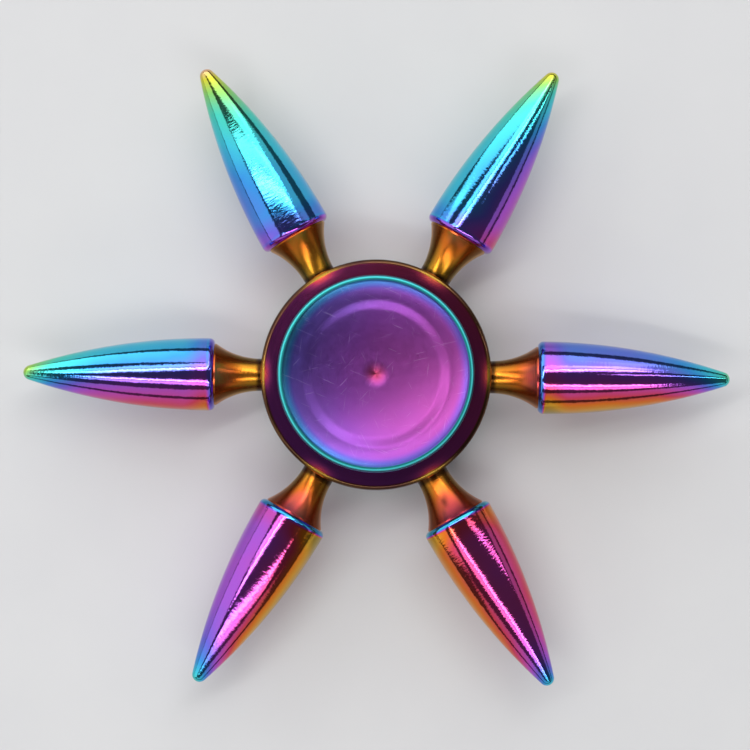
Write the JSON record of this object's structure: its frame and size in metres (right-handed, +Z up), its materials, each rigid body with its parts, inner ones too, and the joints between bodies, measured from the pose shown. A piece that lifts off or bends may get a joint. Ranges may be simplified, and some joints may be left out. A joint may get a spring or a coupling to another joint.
{
  "type": "fidget spinner",
  "caption": "Metal finger spinner: bullet-shaped weights on flared stems around a hub ring that turns on a ball bearing between two dished thumb caps.",
  "frame": {"origin": "on the spin axis, at the height of the lower thumb cap's lip, which the spinner lies on", "axes": "+Z up along the spin axis, out of the upper thumb cap; +X along the first arm"},
  "size_m": [0.076, 0.066, 0.013],
  "materials": {
    "hub_coating": "polished",
    "stem_coating": "polished",
    "bullet_coating": "polished",
    "cap_coating": "satin",
    "race_steel": "polished",
    "ball_steel": "polished",
    "cage_brass": "satin",
    "shield_steel": "satin",
    "clip_steel": "satin"
  },
  "bodies": {
    "core": {"thumb_cap_top": "cap_coating", "thumb_cap_bottom": "cap_coating", "bearing_inner_race": "race_steel"},
    "rotor": {"hub_ring": "hub_coating", "stem_1": "stem_coating", "stem_2": "stem_coating", "stem_3": "stem_coating", "stem_4": "stem_coating", "stem_5": "stem_coating", "stem_6": "stem_coating", "bullet_1": "bullet_coating", "bullet_2": "bullet_coating", "bullet_3": "bullet_coating", "bullet_4": "bullet_coating", "bullet_5": "bullet_coating", "bullet_6": "bullet_coating", "bearing_outer_race": "race_steel", "bearing_shield_top": "shield_steel", "bearing_shield_bottom": "shield_steel", "shield_clip_top": "clip_steel", "shield_clip_bottom": "clip_steel"},
    "cage": {"bearing_cage": "cage_brass"},
    "ball_1": {"bearing_ball_1": "ball_steel"},
    "ball_2": {"bearing_ball_2": "ball_steel"},
    "ball_3": {"bearing_ball_3": "ball_steel"},
    "ball_4": {"bearing_ball_4": "ball_steel"},
    "ball_5": {"bearing_ball_5": "ball_steel"},
    "ball_6": {"bearing_ball_6": "ball_steel"},
    "ball_7": {"bearing_ball_7": "ball_steel"},
    "ball_8": {"bearing_ball_8": "ball_steel"},
    "ball_9": {"bearing_ball_9": "ball_steel"},
    "ball_10": {"bearing_ball_10": "ball_steel"}
  },
  "joints": [
    {"name": "rotor_spin", "type": "hinge", "parent": "core", "child": "rotor", "pos_m": [0, 0, 0.0065], "axis": [0, 0, 1], "continuous": true},
    {"name": "cage_orbit", "type": "hinge", "parent": "core", "child": "cage", "pos_m": [0, 0, 0.0065], "axis": [0, 0, 1], "continuous": true},
    {"name": "ball_1_roll", "type": "hinge", "parent": "cage", "child": "ball_1", "pos_m": [0.00476, 0, 0.0065], "axis": [0, 0, 1], "continuous": true},
    {"name": "ball_2_roll", "type": "hinge", "parent": "cage", "child": "ball_2", "pos_m": [0.00385, 0.0028, 0.0065], "axis": [0, 0, 1], "continuous": true},
    {"name": "ball_3_roll", "type": "hinge", "parent": "cage", "child": "ball_3", "pos_m": [0.00147, 0.00453, 0.0065], "axis": [0, 0, 1], "continuous": true},
    {"name": "ball_4_roll", "type": "hinge", "parent": "cage", "child": "ball_4", "pos_m": [-0.00147, 0.00453, 0.0065], "axis": [0, 0, 1], "continuous": true},
    {"name": "ball_5_roll", "type": "hinge", "parent": "cage", "child": "ball_5", "pos_m": [-0.00385, 0.0028, 0.0065], "axis": [0, 0, 1], "continuous": true},
    {"name": "ball_6_roll", "type": "hinge", "parent": "cage", "child": "ball_6", "pos_m": [-0.00476, 0, 0.0065], "axis": [0, 0, 1], "continuous": true},
    {"name": "ball_7_roll", "type": "hinge", "parent": "cage", "child": "ball_7", "pos_m": [-0.00385, -0.0028, 0.0065], "axis": [0, 0, 1], "continuous": true},
    {"name": "ball_8_roll", "type": "hinge", "parent": "cage", "child": "ball_8", "pos_m": [-0.00147, -0.00453, 0.0065], "axis": [0, 0, 1], "continuous": true},
    {"name": "ball_9_roll", "type": "hinge", "parent": "cage", "child": "ball_9", "pos_m": [0.00147, -0.00453, 0.0065], "axis": [0, 0, 1], "continuous": true},
    {"name": "ball_10_roll", "type": "hinge", "parent": "cage", "child": "ball_10", "pos_m": [0.00385, -0.0028, 0.0065], "axis": [0, 0, 1], "continuous": true}
  ],
  "couplings": [
    {"joint": "cage_orbit", "follows": "rotor_spin", "ratio": 0.58333},
    {"joint": "ball_1_roll", "follows": "rotor_spin", "ratio": 2.9167},
    {"joint": "ball_2_roll", "follows": "rotor_spin", "ratio": 2.9167},
    {"joint": "ball_3_roll", "follows": "rotor_spin", "ratio": 2.9167},
    {"joint": "ball_4_roll", "follows": "rotor_spin", "ratio": 2.9167},
    {"joint": "ball_5_roll", "follows": "rotor_spin", "ratio": 2.9167},
    {"joint": "ball_6_roll", "follows": "rotor_spin", "ratio": 2.9167},
    {"joint": "ball_7_roll", "follows": "rotor_spin", "ratio": 2.9167},
    {"joint": "ball_8_roll", "follows": "rotor_spin", "ratio": 2.9167},
    {"joint": "ball_9_roll", "follows": "rotor_spin", "ratio": 2.9167},
    {"joint": "ball_10_roll", "follows": "rotor_spin", "ratio": 2.9167}
  ]
}
